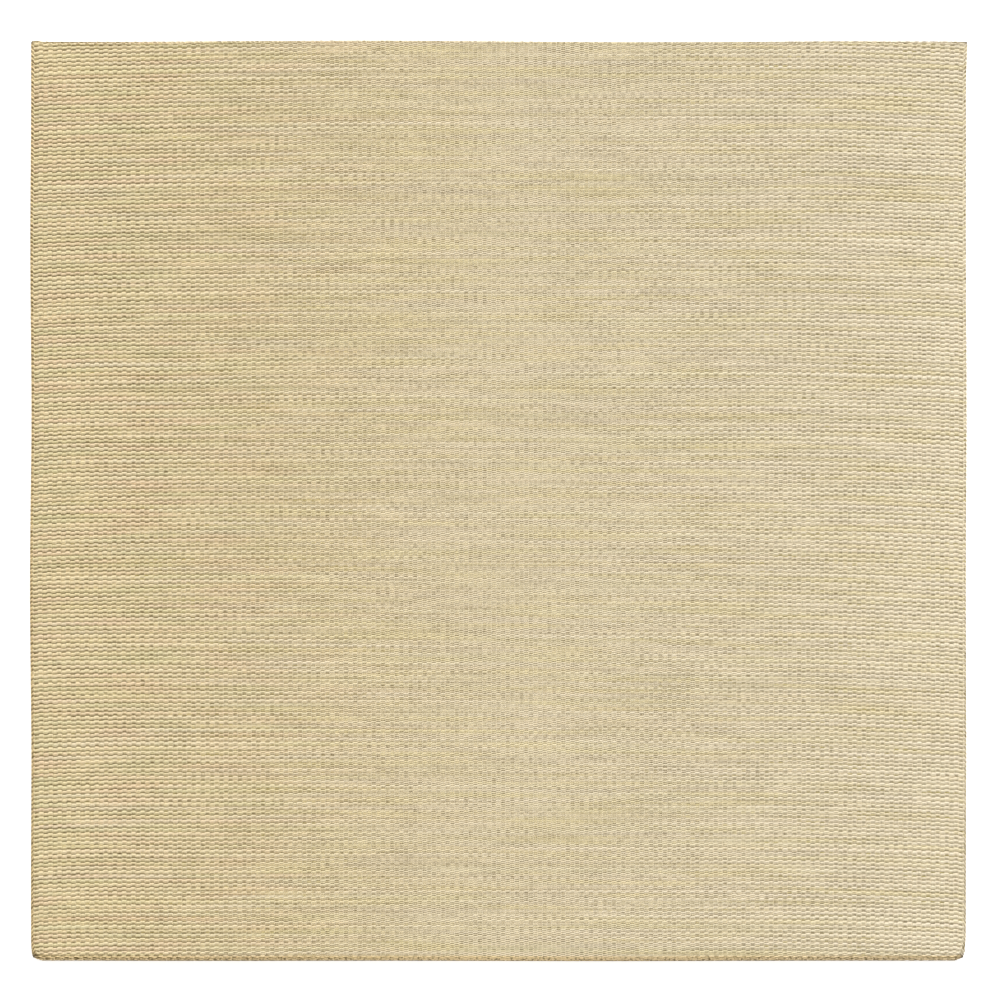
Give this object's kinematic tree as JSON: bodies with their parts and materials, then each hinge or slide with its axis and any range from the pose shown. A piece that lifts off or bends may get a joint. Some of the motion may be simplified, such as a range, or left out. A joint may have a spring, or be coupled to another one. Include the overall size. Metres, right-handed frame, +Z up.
{
  "type": "square borderless tatami mat",
  "caption": "Flat square floor mat wrapped in tightly woven rush, with no edging cloth, a thin rounded rim and folded corners.",
  "frame": {"origin": "on the floor, under the middle of the mat", "axes": "+Z up through the thickness, +X along the rushes to the right, +Y to the far side"},
  "size_m": [0.8216, 0.821, 0.02],
  "materials": {
    "woven_rush": "woven dried rush, satin"
  },
  "bodies": {
    "root": {"tatami_mat": "woven_rush"}
  },
  "joints": []
}
